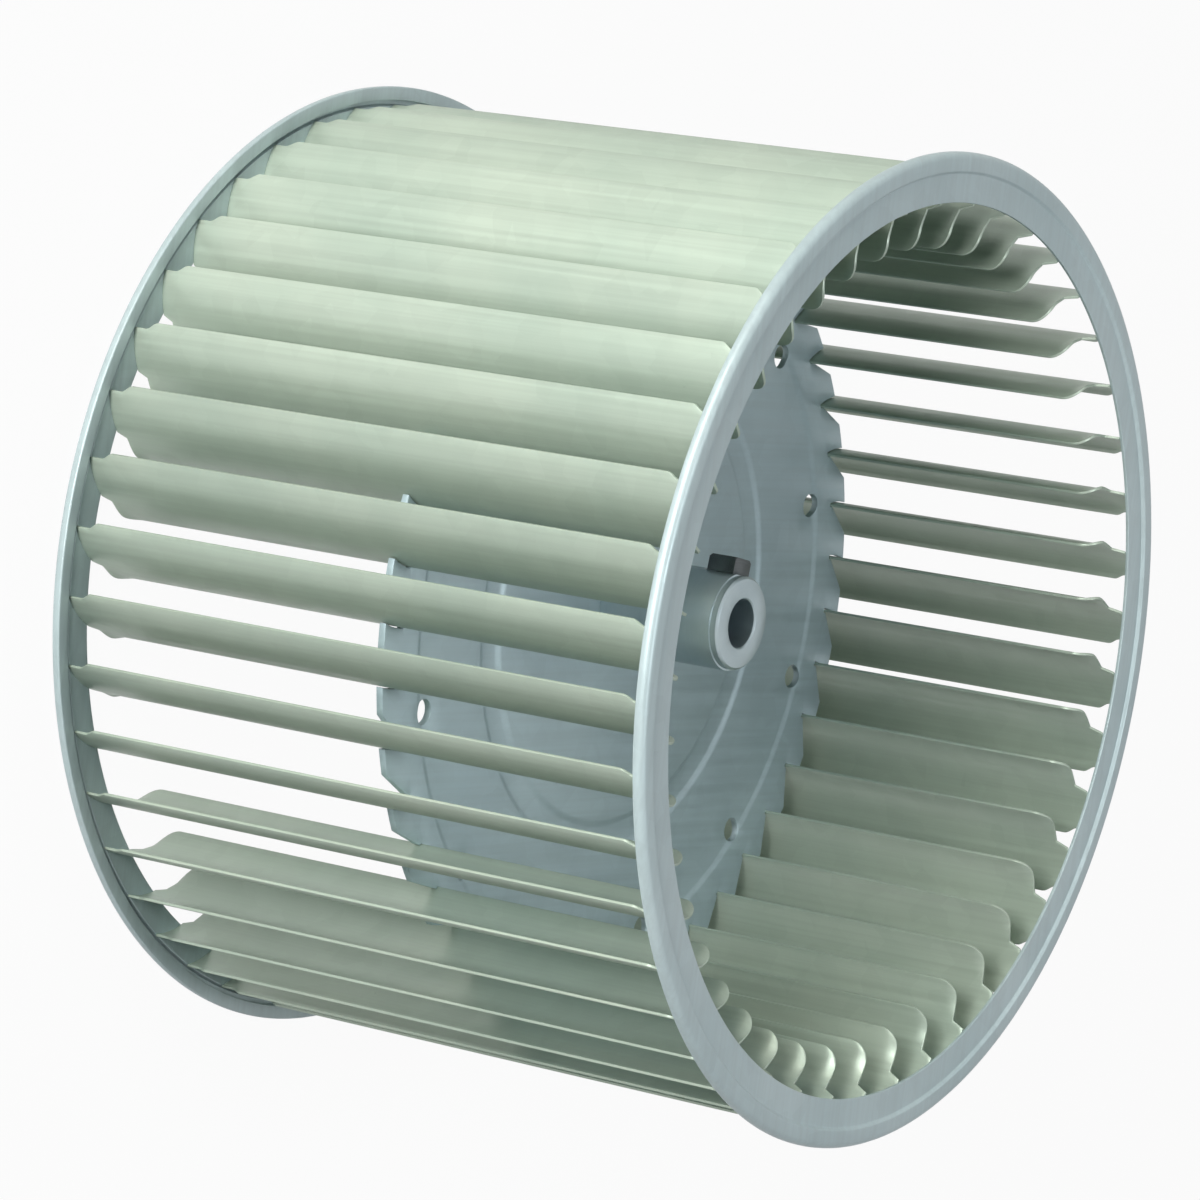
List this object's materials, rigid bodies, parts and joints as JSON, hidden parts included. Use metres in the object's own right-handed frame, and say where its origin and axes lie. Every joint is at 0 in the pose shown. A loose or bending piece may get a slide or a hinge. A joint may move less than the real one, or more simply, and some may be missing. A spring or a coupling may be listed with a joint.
{
  "type": "blower wheel",
  "caption": "Double-inlet centrifugal blower wheel: forward-curved blades between rolled end rings, toothed centre disc and bored hub with a set screw.",
  "frame": {"origin": "on the shaft's axis at mid width, inside the hub's bore", "axes": "+Z along the shaft's axis toward the inlet that the hub stands out to; the wheel stands on its other end ring"},
  "size_m": [0.254, 0.254, 0.1778],
  "materials": {
    "blade_sheet": "satin galvanised",
    "ring_sheet": "satin galvanised",
    "disc_sheet": "satin galvanised",
    "hub_steel": "turned",
    "screw_steel": "dark plated"
  },
  "bodies": {
    "root": {"blade_01": "blade_sheet", "blade_02": "blade_sheet", "blade_03": "blade_sheet", "blade_04": "blade_sheet", "blade_05": "blade_sheet", "blade_06": "blade_sheet", "blade_07": "blade_sheet", "blade_08": "blade_sheet", "blade_09": "blade_sheet", "blade_10": "blade_sheet", "blade_11": "blade_sheet", "blade_12": "blade_sheet", "blade_13": "blade_sheet", "blade_14": "blade_sheet", "blade_15": "blade_sheet", "blade_16": "blade_sheet", "blade_17": "blade_sheet", "blade_18": "blade_sheet", "blade_19": "blade_sheet", "blade_20": "blade_sheet", "blade_21": "blade_sheet", "blade_22": "blade_sheet", "blade_23": "blade_sheet", "blade_24": "blade_sheet", "blade_25": "blade_sheet", "blade_26": "blade_sheet", "blade_27": "blade_sheet", "blade_28": "blade_sheet", "blade_29": "blade_sheet", "blade_30": "blade_sheet", "blade_31": "blade_sheet", "blade_32": "blade_sheet", "blade_33": "blade_sheet", "blade_34": "blade_sheet", "blade_35": "blade_sheet", "blade_36": "blade_sheet", "blade_37": "blade_sheet", "blade_38": "blade_sheet", "blade_39": "blade_sheet", "blade_40": "blade_sheet", "blade_41": "blade_sheet", "blade_42": "blade_sheet", "blade_43": "blade_sheet", "inlet_ring": "ring_sheet", "base_ring": "ring_sheet", "center_disc": "disc_sheet", "hub": "hub_steel", "set_screw": "screw_steel"}
  },
  "joints": []
}
